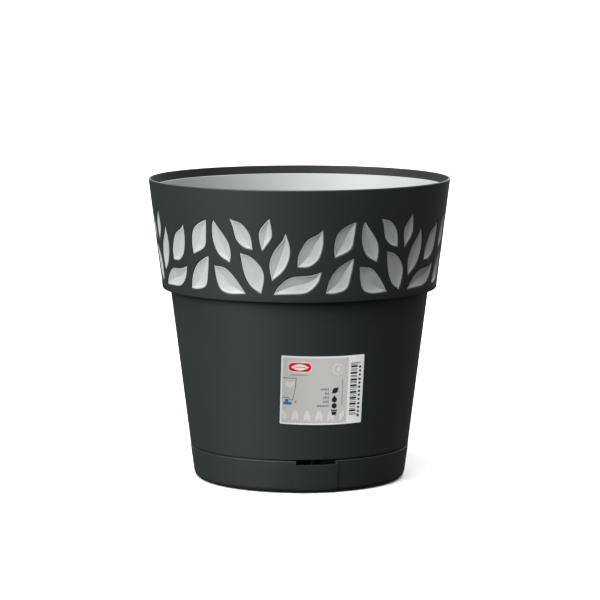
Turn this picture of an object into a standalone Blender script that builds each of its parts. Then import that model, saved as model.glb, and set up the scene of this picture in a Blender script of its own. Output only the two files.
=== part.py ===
"""Self-watering planter: saucer, pierced outer pot, light inner liner, grid, wicking cup, label.

Units are metres, +Z up, the origin is the centre of the foot, and the front (filling slot and
label) faces -Y. Angles round the pot are degrees from the front, growing towards +X.
"""
import math

import bmesh
import bpy
from mathutils import Matrix, Vector

MM = 0.001
SEGMENTS = 72
FIT_GAP = 0.3 * MM

# outer pot
POT_HEIGHT = 199.7 * MM
RIM_RADIUS = 100.0 * MM
COLLAR_BOTTOM_Z = 126.9 * MM
COLLAR_BOTTOM_RADIUS = 91.0 * MM
BODY_TOP_RADIUS = 85.8 * MM
BODY_BOTTOM_RADIUS = 72.7 * MM
POT_WALL = 1.5 * MM
COLLAR_EDGE = 1.5 * MM
COLLAR_FLOOR_THICKNESS = 2.0 * MM
LEDGE_INNER_RADIUS = 62.0 * MM
LEDGE_THICKNESS = 1.8 * MM
SKIRT_BOTTOM_Z = 9.0 * MM
WINDOW_CUT_RADII = (64.0 * MM, 72.0 * MM)
WINDOW_TOP_MARGIN = 1.0 * MM

# saucer
SAUCER_HEIGHT = 22.2 * MM
SAUCER_RIM_RADIUS = 72.9 * MM
SAUCER_BASE_RADIUS = 69.9 * MM
SAUCER_WALL = 1.6 * MM
SAUCER_CORNER = 1.5 * MM
SAUCER_FLOOR_TOP = 2.8 * MM
FOOT_INNER_RADIUS = 62.0 * MM
FOOT_HEIGHT = 1.0 * MM
SLOT_HALF_ANGLE = 10.35
SLOT_DEPTH = 3.0 * MM
SLOT_CUT_RADII = (60.0 * MM, 80.0 * MM)
PAD_HALF_ANGLE = 11.5
PAD_PROUD = 0.8 * MM
PAD_OVERLAP = 0.8 * MM
CUT_MARGIN = 2.0 * MM

# liner, grid and wicking cup
LINER_TOP_Z = 194.2 * MM
LINER_WALL = 1.4 * MM
LINER_LEDGE_RADIUS = 60.0 * MM
GRID_RADIUS = 66.0 * MM
GRID_THICKNESS = 2.0 * MM
GRID_CENTRE_RADIUS = 18.0 * MM
GRID_HOLE_RADIUS = 3.0 * MM
GRID_HOLE_ROWS = ((29.0 * MM, 10), (41.0 * MM, 14), (53.0 * MM, 18))
CUP_TOP_RADIUS = 17.4 * MM
CUP_BOTTOM_RADIUS = 13.0 * MM
CUP_FLANGE_RADIUS = 22.0 * MM
CUP_WALL = 1.5 * MM
CUP_SEGMENTS = 36
CUP_SLOTS = 6
CUP_SLOT_WIDTH = 4.0 * MM
CUP_SLOT_CUT = 10.0 * MM
CUP_SLOT_OFFSET = 1.5 * MM
CUP_SLOT_TOP_MARGIN = 4.0 * MM

# label
LABEL_BOTTOM_Z = 45.7 * MM
LABEL_TOP_Z = 91.4 * MM
LABEL_CENTRE_ANGLE = 2.5
LABEL_ANGLE = 40.0
LABEL_THICKNESS = 0.25 * MM
LABEL_GAP = 0.2 * MM

# leaf openings in the collar: ten leaves, repeated six times round
PATTERN_REPEATS = 6
PATTERN_CENTRE = -28.7
LEAF_CUT_DEPTH = 10.0 * MM
LEAF_CUT_INSET = 2.0 * MM
# tip, foot, then the side points left of the way down and those right of it,
# as degrees round the pattern and millimetres above the ground
LEAVES = (
    ((-17.8, 179.0), (-26.0, 155.7), ((-22.1, 175.9), (-25.2, 171.0), (-26.3, 163.0)),
     ((-18.3, 169.9), (-19.7, 161.0))),
    ((-14.3, 179.1), (-8.0, 152.0), ((-15.1, 174.8), (-15.1, 165.9), (-12.8, 157.0)),
     ((-12.3, 174.6), (-8.3, 165.4), (-7.4, 157.9))),
    ((-7.1, 180.4), (2.0, 161.0), ((-6.0, 176.2), (-4.6, 167.2), (-1.4, 162.3)),
     ((-2.1, 177.5), (1.1, 170.4))),
    ((-17.9, 155.2), (-29.3, 132.9), ((-20.0, 154.1), (-24.7, 148.9), (-27.7, 141.8)),
     ((-18.7, 146.3), (-20.5, 136.0), (-25.1, 132.9))),
    ((-15.4, 149.5), (-1.7, 132.2), ((-14.9, 140.9), (-13.2, 134.2), (-8.9, 131.7)),
     ((-10.4, 148.3), (-6.4, 142.7))),
    ((-3.4, 158.7), (4.8, 132.6), ((-2.0, 145.4), (0.6, 137.3)),
     ((1.1, 156.3), (5.1, 149.8), (6.2, 142.7))),
    ((9.0, 181.8), (5.7, 160.0), ((5.3, 174.4), (4.7, 168.6)),
     ((9.8, 173.0), (9.3, 168.0))),
    ((15.0, 172.4), (9.3, 141.1), ((13.6, 167.2), (10.3, 160.1), (8.5, 151.6)),
     ((16.6, 163.2), (16.3, 155.6), (13.9, 147.6))),
    ((29.2, 174.8), (19.5, 150.1), ((27.5, 171.7), (23.0, 167.2), (19.9, 157.9)),
     ((29.4, 165.0), (27.8, 155.6), (24.1, 150.5))),
    ((29.1, 147.1), (9.7, 132.2), ((24.4, 144.9), (17.1, 143.6), (12.3, 138.2)),
     ((27.5, 139.6), (23.0, 133.5), (15.4, 132.5))),
)


def clear_scene():
    for item in list(bpy.data.objects):
        bpy.data.objects.remove(item, do_unlink=True)


def new_collection(name):
    collection = bpy.data.collections.new(name)
    bpy.context.scene.collection.children.link(collection)
    return collection


def make_material(name, colour, roughness):
    material = bpy.data.materials.new(name)
    material.use_nodes = True
    shader = material.node_tree.nodes["Principled BSDF"]
    shader.inputs["Base Color"].default_value = (*colour, 1.0)
    shader.inputs["Roughness"].default_value = roughness
    shader.inputs["Metallic"].default_value = 0.0
    return material


def point_at(radius, angle, z):
    turn = math.radians(angle)
    return Vector((radius * math.sin(turn), -radius * math.cos(turn), z))


def collar_radius(z):
    """Outer radius of the collar at height z."""
    share = (z - COLLAR_BOTTOM_Z) / (POT_HEIGHT - COLLAR_BOTTOM_Z)
    return COLLAR_BOTTOM_RADIUS + (RIM_RADIUS - COLLAR_BOTTOM_RADIUS) * share


def body_radius(z):
    """Outer radius of the pot's body, between the saucer and the collar."""
    share = (z - SAUCER_HEIGHT) / (COLLAR_BOTTOM_Z - SAUCER_HEIGHT)
    return BODY_BOTTOM_RADIUS + (BODY_TOP_RADIUS - BODY_BOTTOM_RADIUS) * share


def saucer_radius(z):
    """Outer radius of the saucer at height z."""
    share = z / SAUCER_HEIGHT
    return SAUCER_BASE_RADIUS + (SAUCER_RIM_RADIUS - SAUCER_BASE_RADIUS) * share


def turned(name, profile, collection, material=None, closed=True,
           start=0.0, sweep=360.0, steps=SEGMENTS):
    """Turn a profile of (radius, z) about the Z axis; closed joins its last point to its first."""
    mesh = bpy.data.meshes.new(name)
    edges = [(i, i + 1) for i in range(len(profile) - 1)]
    if closed:
        edges.append((len(profile) - 1, 0))
    turn = Matrix.Rotation(math.radians(start), 4, "Z")
    mesh.from_pydata([turn @ Vector((r, 0.0, z)) for r, z in profile], edges, [])
    item = bpy.data.objects.new(name, mesh)
    collection.objects.link(item)
    screw = item.modifiers.new("turn", "SCREW")
    screw.angle = math.radians(sweep)
    screw.steps = steps
    screw.render_steps = steps
    screw.use_merge_vertices = sweep == 360.0
    screw.merge_threshold = 0.00001
    screw.use_smooth_shade = False
    if material:
        mesh.materials.append(material)
    return item


def frozen(item):
    """Replace an object by a plain mesh of what its modifiers or curve give."""
    depsgraph = bpy.context.evaluated_depsgraph_get()
    mesh = bpy.data.meshes.new_from_object(item.evaluated_get(depsgraph))
    name, place = item.name, item.matrix_world.copy()
    collection = item.users_collection[0]
    bpy.data.objects.remove(item, do_unlink=True)
    weld = bmesh.new()
    weld.from_mesh(mesh)
    bmesh.ops.remove_doubles(weld, verts=weld.verts, dist=0.000005)
    weld.to_mesh(mesh)
    weld.free()
    fresh = bpy.data.objects.new(name, mesh)
    fresh.matrix_world = place
    collection.objects.link(fresh)
    return fresh


def sector(name, inner, outer, low, high, centre, half_angle, collection, steps=8):
    """A closed piece of ring: slopes follow the (bottom, top) radii given."""
    profile = [(inner[0], low), (inner[1], high), (outer[1], high), (outer[0], low)]
    piece = turned(name, profile, collection, start=centre - 90.0 - half_angle,
                   sweep=2.0 * half_angle, steps=steps)
    piece = frozen(piece)
    cap = bmesh.new()
    cap.from_mesh(piece.data)
    bmesh.ops.holes_fill(cap, edges=[e for e in cap.edges if e.is_boundary])
    bmesh.ops.recalc_face_normals(cap, faces=cap.faces)
    cap.to_mesh(piece.data)
    cap.free()
    return piece


def joined(name, pieces, collection):
    """Join separate cutters into one object."""
    whole = bmesh.new()
    for piece in pieces:
        part = piece.data.copy()
        part.transform(piece.matrix_world)
        whole.from_mesh(part)
        bpy.data.meshes.remove(part)
        bpy.data.objects.remove(piece, do_unlink=True)
    mesh = bpy.data.meshes.new(name)
    whole.to_mesh(mesh)
    whole.free()
    item = bpy.data.objects.new(name, mesh)
    collection.objects.link(item)
    return item


def combine(item, cutter, operation):
    cutter.hide_render = True
    cutter.display_type = "WIRE"
    boolean = item.modifiers.new(cutter.name, "BOOLEAN")
    boolean.operation = operation
    boolean.solver = "EXACT"
    boolean.object = cutter


def smooth_round(item):
    item.data.shade_smooth()
    item.data.set_sharp_from_angle(angle=math.radians(30.0))


def leaf_cutter(name, leaf, turn, cutters):
    """One leaf outline as a flat curve, stood up against the collar at its own angle."""
    tip, foot, left, right = leaf
    outline = (tip, *left, foot, *reversed(right))
    middle_angle = (tip[0] + foot[0]) / 2.0
    middle_z = (tip[1] + foot[1]) / 2.0 * MM
    curve = bpy.data.curves.new(name, "CURVE")
    curve.dimensions = "2D"
    curve.fill_mode = "BOTH"
    curve.resolution_u = 2
    curve.extrude = LEAF_CUT_DEPTH / 2.0
    spline = curve.splines.new("BEZIER")
    spline.bezier_points.add(len(outline) - 1)
    for knot, (angle, height) in zip(spline.bezier_points, outline):
        radius = collar_radius(height * MM)
        across = radius * math.sin(math.radians(angle - middle_angle))
        knot.co = (across, height * MM - middle_z, 0.0)
        knot.handle_left_type = "AUTO"
        knot.handle_right_type = "AUTO"
    for knot in (spline.bezier_points[0], spline.bezier_points[len(left) + 1]):
        knot.handle_left_type = "VECTOR"
        knot.handle_right_type = "VECTOR"
    spline.use_cyclic_u = True
    item = bpy.data.objects.new(name, curve)
    angle = PATTERN_CENTRE + turn + middle_angle
    item.location = point_at(collar_radius(middle_z) - LEAF_CUT_INSET, angle, middle_z)
    item.rotation_euler = (math.radians(90.0), 0.0, math.radians(angle))
    cutters.objects.link(item)
    bpy.context.view_layer.update()
    return frozen(item)


def make_leaf_cutters(cutters):
    pieces = []
    for repeat in range(PATTERN_REPEATS):
        turn = repeat * 360.0 / PATTERN_REPEATS
        for number, leaf in enumerate(LEAVES):
            pieces.append(leaf_cutter(f"leaf_{repeat}_{number}", leaf, turn, cutters))
    return joined("leaf_openings", pieces, cutters)


def make_saucer(parts, cutters, material):
    rim_inner = SAUCER_RIM_RADIUS - SAUCER_WALL
    floor_inner = saucer_radius(SAUCER_FLOOR_TOP) - SAUCER_WALL
    profile = [
        (0.0, SAUCER_FLOOR_TOP), (floor_inner, SAUCER_FLOOR_TOP), (rim_inner, SAUCER_HEIGHT),
        (SAUCER_RIM_RADIUS, SAUCER_HEIGHT), (saucer_radius(SAUCER_CORNER), SAUCER_CORNER),
        (SAUCER_BASE_RADIUS - SAUCER_CORNER, 0.0), (FOOT_INNER_RADIUS, 0.0),
        (FOOT_INNER_RADIUS - FOOT_HEIGHT, FOOT_HEIGHT), (0.0, FOOT_HEIGHT),
    ]
    saucer = turned("reservoir_saucer", profile, parts, material, closed=False)
    low = SAUCER_CORNER
    inner = (saucer_radius(low) - PAD_OVERLAP, SAUCER_RIM_RADIUS - PAD_OVERLAP)
    outer = (saucer_radius(low) + PAD_PROUD, SAUCER_RIM_RADIUS + PAD_PROUD)
    pad = sector("slot_pad", inner, outer, low, SAUCER_HEIGHT, 0.0, PAD_HALF_ANGLE, cutters)
    combine(saucer, pad, "UNION")
    inside, outside = SLOT_CUT_RADII
    slot = sector("filling_slot", (inside, inside), (outside, outside),
                  SAUCER_HEIGHT - SLOT_DEPTH, SAUCER_HEIGHT + CUT_MARGIN,
                  0.0, SLOT_HALF_ANGLE, cutters)
    combine(saucer, slot, "DIFFERENCE")
    smooth_round(saucer)
    return saucer


def make_outer_pot(parts, cutters, material):
    shoulder = SAUCER_HEIGHT + FIT_GAP
    collar_floor = COLLAR_BOTTOM_Z + COLLAR_FLOOR_THICKNESS
    ledge_top = shoulder + LEDGE_THICKNESS
    skirt_top = saucer_radius(shoulder) - SAUCER_WALL - FIT_GAP
    skirt_bottom = saucer_radius(SKIRT_BOTTOM_Z) - SAUCER_WALL - FIT_GAP
    profile = [
        (RIM_RADIUS - POT_WALL, POT_HEIGHT), (RIM_RADIUS, POT_HEIGHT),
        (collar_radius(COLLAR_BOTTOM_Z + COLLAR_EDGE), COLLAR_BOTTOM_Z + COLLAR_EDGE),
        (COLLAR_BOTTOM_RADIUS - COLLAR_EDGE, COLLAR_BOTTOM_Z),
        (BODY_TOP_RADIUS, COLLAR_BOTTOM_Z), (BODY_BOTTOM_RADIUS, shoulder),
        (skirt_top, shoulder), (skirt_bottom, SKIRT_BOTTOM_Z),
        (skirt_bottom - POT_WALL, SKIRT_BOTTOM_Z), (skirt_top - POT_WALL, shoulder),
        (LEDGE_INNER_RADIUS, shoulder), (LEDGE_INNER_RADIUS, ledge_top),
        (body_radius(ledge_top) - POT_WALL, ledge_top),
        (body_radius(collar_floor) - POT_WALL, collar_floor),
        (collar_radius(collar_floor) - POT_WALL, collar_floor),
    ]
    pot = turned("outer_pot", profile, parts, material)
    combine(pot, make_leaf_cutters(cutters), "DIFFERENCE")
    inside, outside = WINDOW_CUT_RADII
    window = sector("skirt_window", (inside, inside), (outside, outside),
                    SKIRT_BOTTOM_Z - CUT_MARGIN, shoulder - WINDOW_TOP_MARGIN,
                    0.0, SLOT_HALF_ANGLE, cutters)
    combine(pot, window, "DIFFERENCE")
    smooth_round(pot)
    return pot


def make_liner(parts, material):
    set_back = POT_WALL + FIT_GAP
    collar_floor = COLLAR_BOTTOM_Z + COLLAR_FLOOR_THICKNESS
    floor_z = SAUCER_HEIGHT + FIT_GAP + LEDGE_THICKNESS + FIT_GAP
    step_z = collar_floor + FIT_GAP
    outer = [
        (collar_radius(LINER_TOP_Z) - set_back, LINER_TOP_Z),
        (collar_radius(step_z) - set_back, step_z),
        (body_radius(step_z) - set_back, step_z),
        (body_radius(floor_z) - set_back, floor_z),
        (LINER_LEDGE_RADIUS, floor_z),
    ]
    inner = [
        (LINER_LEDGE_RADIUS, floor_z + LINER_WALL),
        (body_radius(floor_z + LINER_WALL) - set_back - LINER_WALL, floor_z + LINER_WALL),
        (body_radius(step_z + LINER_WALL) - set_back - LINER_WALL, step_z + LINER_WALL),
        (collar_radius(step_z + LINER_WALL) - set_back - LINER_WALL, step_z + LINER_WALL),
        (collar_radius(LINER_TOP_Z) - set_back - LINER_WALL, LINER_TOP_Z),
    ]
    liner = turned("inner_liner", outer + inner, parts, material)
    smooth_round(liner)
    return liner


def grid_bottom():
    return SAUCER_HEIGHT + 3.0 * FIT_GAP + LEDGE_THICKNESS + LINER_WALL


def make_grid(parts, cutters, material):
    bottom = grid_bottom()
    top = bottom + GRID_THICKNESS
    profile = [
        (GRID_CENTRE_RADIUS, top), (GRID_RADIUS, top),
        (GRID_RADIUS, bottom), (GRID_CENTRE_RADIUS, bottom),
    ]
    grid = turned("separator_grid", profile, parts, material)
    drills = []
    for ring_radius, count in GRID_HOLE_ROWS:
        for number in range(count):
            angle = 360.0 * number / count
            mesh = bpy.data.meshes.new("drill")
            drill = bmesh.new()
            bmesh.ops.create_cone(drill, cap_ends=True, segments=8, radius1=GRID_HOLE_RADIUS,
                                  radius2=GRID_HOLE_RADIUS, depth=3.0 * GRID_THICKNESS)
            drill.to_mesh(mesh)
            drill.free()
            item = bpy.data.objects.new("drill", mesh)
            item.location = point_at(ring_radius, angle, (bottom + top) / 2.0)
            cutters.objects.link(item)
            drills.append(item)
    bpy.context.view_layer.update()
    combine(grid, joined("drain_holes", drills, cutters), "DIFFERENCE")
    smooth_round(grid)
    return grid


def make_cup(parts, cutters, material):
    flange_bottom = grid_bottom() + GRID_THICKNESS + FIT_GAP
    flange_top = flange_bottom + CUP_WALL
    foot = SAUCER_FLOOR_TOP + FIT_GAP
    profile = [
        (0.0, foot + CUP_WALL), (CUP_BOTTOM_RADIUS - CUP_WALL, foot + CUP_WALL),
        (CUP_TOP_RADIUS - CUP_WALL, flange_top), (CUP_FLANGE_RADIUS, flange_top),
        (CUP_FLANGE_RADIUS, flange_bottom), (CUP_TOP_RADIUS, flange_bottom),
        (CUP_BOTTOM_RADIUS, foot), (0.0, foot),
    ]
    cup = turned("wicking_cup", profile, parts, material, closed=False, steps=CUP_SEGMENTS)
    low, high = foot + 2.0 * CUP_WALL, flange_bottom - CUP_SLOT_TOP_MARGIN
    slots = []
    for number in range(CUP_SLOTS):
        angle = 360.0 * (number + 0.5) / CUP_SLOTS
        mesh = bpy.data.meshes.new("slot")
        slot = bmesh.new()
        bmesh.ops.create_cube(slot, size=1.0)
        slot.transform(Matrix.Diagonal((CUP_SLOT_WIDTH, CUP_SLOT_CUT, high - low, 1.0)))
        slot.to_mesh(mesh)
        slot.free()
        item = bpy.data.objects.new("slot", mesh)
        item.location = point_at(CUP_BOTTOM_RADIUS + CUP_SLOT_OFFSET, angle, (low + high) / 2.0)
        item.rotation_euler = (0.0, 0.0, math.radians(angle))
        cutters.objects.link(item)
        slots.append(item)
    bpy.context.view_layer.update()
    combine(cup, joined("wick_slots", slots, cutters), "DIFFERENCE")
    smooth_round(cup)
    return cup


def make_label(parts, material):
    inner = [body_radius(z) + LABEL_GAP for z in (LABEL_BOTTOM_Z, LABEL_TOP_Z)]
    outer = [radius + LABEL_THICKNESS for radius in inner]
    label = sector("product_label", inner, outer, LABEL_BOTTOM_Z, LABEL_TOP_Z,
                   LABEL_CENTRE_ANGLE, LABEL_ANGLE / 2.0, parts, steps=16)
    label.data.materials.clear()
    label.data.materials.append(material)
    smooth_round(label)
    return label


def main():
    clear_scene()
    parts = new_collection("self_watering_planter")
    cutters = new_collection("cutters")
    anthracite = make_material("anthracite_plastic", (0.033, 0.038, 0.040), 0.55)
    saucer_plastic = make_material("saucer_plastic", (0.031, 0.036, 0.038), 0.55)
    light_grey = make_material("light_grey_plastic", (0.66, 0.67, 0.68), 0.45)
    black = make_material("black_grid_plastic", (0.02, 0.02, 0.02), 0.6)
    cup_black = make_material("black_cup_plastic", (0.022, 0.022, 0.022), 0.6)
    paper = make_material("label_paper", (0.50, 0.49, 0.46), 0.5)
    make_saucer(parts, cutters, saucer_plastic)
    make_outer_pot(parts, cutters, anthracite)
    make_liner(parts, light_grey)
    make_grid(parts, cutters, black)
    make_cup(parts, cutters, cup_black)
    make_label(parts, paper)


main()
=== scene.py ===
import math
import bmesh
import bpy
from mathutils import Matrix, Vector


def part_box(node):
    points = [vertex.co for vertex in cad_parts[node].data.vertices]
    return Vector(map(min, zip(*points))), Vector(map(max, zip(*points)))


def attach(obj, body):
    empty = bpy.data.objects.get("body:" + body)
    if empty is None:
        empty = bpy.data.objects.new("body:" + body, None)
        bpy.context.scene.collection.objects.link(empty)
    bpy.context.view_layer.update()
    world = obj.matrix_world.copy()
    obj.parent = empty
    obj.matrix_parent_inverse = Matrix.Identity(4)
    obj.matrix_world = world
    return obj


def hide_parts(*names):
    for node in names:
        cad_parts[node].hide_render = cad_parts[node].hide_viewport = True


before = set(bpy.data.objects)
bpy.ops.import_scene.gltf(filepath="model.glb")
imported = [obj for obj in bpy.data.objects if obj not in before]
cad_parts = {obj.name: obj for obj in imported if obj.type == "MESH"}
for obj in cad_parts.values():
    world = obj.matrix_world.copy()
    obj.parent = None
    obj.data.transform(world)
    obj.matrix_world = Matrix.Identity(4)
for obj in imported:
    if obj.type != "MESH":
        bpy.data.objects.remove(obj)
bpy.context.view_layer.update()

mm = 0.001
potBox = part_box("outer_pot")
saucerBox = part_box("reservoir_saucer")
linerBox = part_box("inner_liner")
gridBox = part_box("separator_grid")
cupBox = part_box("wicking_cup")

rimRadius = potBox[1].x
potTop = potBox[1].z
saucerTop = saucerBox[1].z

# the round pieces share one number of columns, so that their edges meet
columns = 312
columnStep = 360.0 / columns
# a point this near a level counts as on it, and a cut this near a point goes through it
levelSlack = 0.02 * mm
cutSlack = 0.0001 * mm

cone = {
    "collarLow": 126.9 * mm, "collarLowRadius": 91.0 * mm,
    "bodyTopRadius": 85.8 * mm, "bodyLowRadius": 72.75 * mm,
    "saucerRimRadius": 72.9 * mm, "saucerFootRadius": 69.9 * mm,
}


def collarRadius(z):
    share = (z - cone["collarLow"]) / (potTop - cone["collarLow"])
    return cone["collarLowRadius"] + (rimRadius - cone["collarLowRadius"]) * share


def bodyRadius(z):
    share = (z - saucerTop) / (cone["collarLow"] - saucerTop)
    return cone["bodyLowRadius"] + (cone["bodyTopRadius"] - cone["bodyLowRadius"]) * share


def saucerRadius(z):
    share = z / saucerTop
    return cone["saucerFootRadius"] + (cone["saucerRimRadius"] - cone["saucerFootRadius"]) * share


# general tools

def clearSelection():
    if bpy.context.object and bpy.context.object.mode != "OBJECT":
        bpy.ops.object.mode_set(mode="OBJECT")
    bpy.ops.object.select_all(action="DESELECT")


def selectOnly(*pieces):
    clearSelection()
    for piece in pieces:
        piece.select_set(True)
    bpy.context.view_layer.objects.active = pieces[0]


def addObject(name, data):
    item = bpy.data.objects.new(name, data)
    bpy.context.scene.collection.objects.link(item)
    return item


def applyModifiers(piece):
    selectOnly(piece)
    for modifier in list(piece.modifiers):
        bpy.ops.object.modifier_apply(modifier=modifier.name)


def setPlace(piece):
    # the piece's place goes into its mesh
    selectOnly(piece)
    bpy.ops.object.transform_apply(location=True, rotation=True, scale=True)


def joinPieces(name, pieces):
    selectOnly(*pieces)
    if len(pieces) > 1:
        bpy.ops.object.join()
    whole = bpy.context.object
    whole.name = name
    whole.data.name = name
    return whole


def closeSeams(piece, distance=0.002 * mm):
    selectOnly(piece)
    bpy.ops.object.mode_set(mode="EDIT")
    bpy.ops.mesh.select_all(action="SELECT")
    bpy.ops.mesh.remove_doubles(threshold=distance)
    bpy.ops.mesh.normals_make_consistent(inside=False)
    bpy.ops.object.mode_set(mode="OBJECT")


def smoothFaces(piece, degrees=35.0, weighted=True):
    selectOnly(piece)
    bpy.ops.object.shade_smooth_by_angle(angle=math.radians(degrees))
    if weighted:
        modifier = piece.modifiers.new("evenShading", "WEIGHTED_NORMAL")
        modifier.keep_sharp = True
        applyModifiers(piece)


def roundedProfile(corners, pieces=3):
    # corners are (radius, height, rounding); a rounded one becomes a short arc
    profile = []
    last = len(corners) - 1
    for number, (r, z, rounding) in enumerate(corners):
        here = Vector((r, z))
        if rounding == 0.0 or number in (0, last):
            profile.append(here)
            continue
        before = (Vector(corners[number - 1][:2]) - here).normalized()
        after = (Vector(corners[number + 1][:2]) - here).normalized()
        half = before.angle(after) / 2.0
        reach = rounding / math.tan(half)
        centre = here + (before + after).normalized() * (rounding / math.sin(half))
        start = here + before * reach - centre
        end = here + after * reach - centre
        turn = start.angle_signed(end)
        for k in range(pieces + 1):
            angle = -turn * k / pieces
            profile.append(centre + Matrix.Rotation(angle, 2) @ start)
    return profile


def turnedPiece(name, profile, sides=columns, poleAtEnds=(False, False)):
    # a ring at the first point, extruded ring by ring to the others
    clearSelection()
    first = profile[0]
    bpy.ops.mesh.primitive_circle_add(vertices=sides, radius=first[0], location=(0, 0, first[1]),
                                      rotation=(0, 0, math.radians(-90)))
    piece = bpy.context.object
    piece.name = name
    setPlace(piece)
    bpy.ops.object.mode_set(mode="EDIT")
    bpy.ops.mesh.select_all(action="SELECT")
    if poleAtEnds[0]:
        bpy.ops.mesh.edge_face_add()
        bpy.ops.mesh.poke()
        bpy.ops.mesh.select_all(action="DESELECT")
        bpy.ops.mesh.select_non_manifold()
    for before, after in zip(profile, profile[1:]):
        bpy.ops.mesh.extrude_edges_move(TRANSFORM_OT_translate={"value": (0, 0, after[1] - before[1])})
        grow = after[0] / before[0]
        bpy.ops.transform.resize(value=(grow, grow, 1), center_override=(0, 0, after[1]))
    if poleAtEnds[1]:
        bpy.ops.mesh.edge_face_add()
        bpy.ops.mesh.poke()
    bpy.ops.object.mode_set(mode="OBJECT")
    return piece


def pointAt(radius, angle, z):
    turn = math.radians(angle)
    return Vector((radius * math.sin(turn), -radius * math.cos(turn), z))


def angleOf(point):
    return math.degrees(math.atan2(point.x, -point.y))


def reachOf(point):
    return math.hypot(point.x, point.y)


def sliceAt(mesh, x):
    # one cut straight across the whole mesh, so that it can bend there
    bmesh.ops.bisect_plane(mesh, geom=mesh.verts[:] + mesh.edges[:] + mesh.faces[:],
                           dist=cutSlack, plane_co=(x, 0, 0), plane_no=(1, 0, 0))


def cutSector(mesh, halfAngle, low, high, near, far, level):
    # takes away both skins of a wall inside a sector, then closes the wall's cut edges:
    # a strip along the level, and a cap at each end
    def inside(face):
        middle = face.calc_center_median()
        across = abs(angleOf(middle)) < halfAngle
        return across and low < middle.z < high and near < reachOf(middle) < far
    doomed = [face for face in mesh.faces if inside(face)]
    bmesh.ops.delete(mesh, geom=doomed, context="FACES")
    stations = {}
    for vert in mesh.verts:
        if any(edge.is_boundary for edge in vert.link_edges):
            stations.setdefault(round(angleOf(vert.co) / columnStep), []).append(vert)
    order = sorted(stations)
    pairs = []
    for key in order:
        flat = [vert for vert in stations[key] if abs(vert.co.z - level) < levelSlack]
        flat.sort(key=lambda vert: reachOf(vert.co))
        pairs.append((flat[0], flat[-1]))
    for (innerA, outerA), (innerB, outerB) in zip(pairs, pairs[1:]):
        mesh.faces.new((innerA, outerA, outerB, innerB))
    for key in (order[0], order[-1]):
        section = stations[key]
        spots = [Vector((reachOf(vert.co), vert.co.z)) for vert in section]
        centre = sum(spots, Vector((0, 0))) / len(spots)
        turns = [math.atan2(spot.y - centre.y, spot.x - centre.x) for spot in spots]
        around = sorted(zip(turns, section), key=lambda pair: pair[0])
        mesh.faces.new([pair[1] for pair in around])
    bmesh.ops.recalc_face_normals(mesh, faces=mesh.faces)


# leaf outlines, shared by the openings in the collar and the leaves on the liner

leafBand = {
    "firstColumn": -51, "sectorColumns": 52, "repeats": 6,
    "patternCentre": -28.95, "flatRadius": 95.0 * mm,
    "low": 130.4 * mm, "high": 184.2 * mm,
    "curveSteps": 16, "outlinePieces": 26, "tipStretch": 1.8, "leastShare": 0.3,
}
# tip, foot, then the points down the left side and down the right side,
# in degrees round the pattern and millimetres above the ground
leafShapes = (
    ((-17.8, 179.0), (-26.0, 155.7), ((-22.1, 175.9), (-25.2, 171.0), (-26.3, 163.0)),
     ((-18.3, 169.9), (-19.7, 161.0))),
    ((-14.3, 179.1), (-8.0, 152.0), ((-15.1, 174.8), (-15.1, 165.9), (-12.8, 157.0)),
     ((-12.3, 174.6), (-8.3, 165.4), (-7.4, 157.9))),
    ((-7.1, 180.4), (2.0, 161.0), ((-6.0, 176.2), (-4.6, 167.2), (-1.4, 162.3)),
     ((-2.1, 177.5), (1.1, 170.4))),
    ((-17.9, 155.2), (-29.3, 132.9), ((-20.0, 154.1), (-24.7, 148.9), (-27.7, 141.8)),
     ((-18.7, 146.3), (-20.5, 136.0), (-25.1, 132.9))),
    ((-15.4, 149.5), (-1.7, 132.2), ((-14.9, 140.9), (-13.2, 134.2), (-8.9, 131.7)),
     ((-10.4, 148.3), (-6.4, 142.7))),
    ((-3.4, 158.7), (4.8, 132.6), ((-2.0, 145.4), (0.6, 137.3)),
     ((1.1, 156.3), (5.1, 149.8), (6.2, 142.7))),
    ((9.0, 181.8), (5.7, 160.0), ((5.3, 174.4), (4.7, 168.6)),
     ((9.8, 173.0), (9.3, 168.0))),
    ((15.0, 172.4), (9.3, 141.1), ((13.6, 167.2), (10.3, 160.1), (8.5, 151.6)),
     ((16.6, 163.2), (16.3, 155.6), (13.9, 147.6))),
    ((29.2, 174.8), (19.5, 150.1), ((27.5, 171.7), (23.0, 167.2), (19.9, 157.9)),
     ((29.4, 165.0), (27.8, 155.6), (24.1, 150.5))),
    ((29.1, 147.1), (9.7, 132.2), ((24.4, 144.9), (17.1, 143.6), (12.3, 138.2)),
     ((27.5, 139.6), (23.0, 133.5), (15.4, 132.5))),
)


def smoothLine(points, pieces):
    # a smooth line through the points, cut into equal pieces
    steps = leafBand["curveSteps"]
    ends = [points[0] * 2 - points[1], *points, points[-1] * 2 - points[-2]]
    fine = []
    for a, b, c, d in zip(ends, ends[1:], ends[2:], ends[3:]):
        for k in range(steps):
            t = k / steps
            bend = (a * 2 - b * 5 + c * 4 - d) * t * t + (b * 3 - a - c * 3 + d) * t ** 3
            fine.append((b * 2 + (c - a) * t + bend) * 0.5)
    fine.append(points[-1])
    walked = [0.0]
    for p, q in zip(fine, fine[1:]):
        walked.append(walked[-1] + (q - p).length)
    line = []
    spot = 0
    for k in range(pieces + 1):
        goal = walked[-1] * k / pieces
        while spot < len(walked) - 2 and walked[spot + 1] < goal:
            spot += 1
        share = (goal - walked[spot]) / (walked[spot + 1] - walked[spot])
        line.append(fine[spot].lerp(fine[spot + 1], min(1.0, share)))
    return line


def flatSpot(angle, height):
    # a place on the pattern, unrolled: x along the collar, y up
    turn = math.radians(angle + leafBand["patternCentre"])
    return Vector((turn * leafBand["flatRadius"], height * mm))


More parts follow.
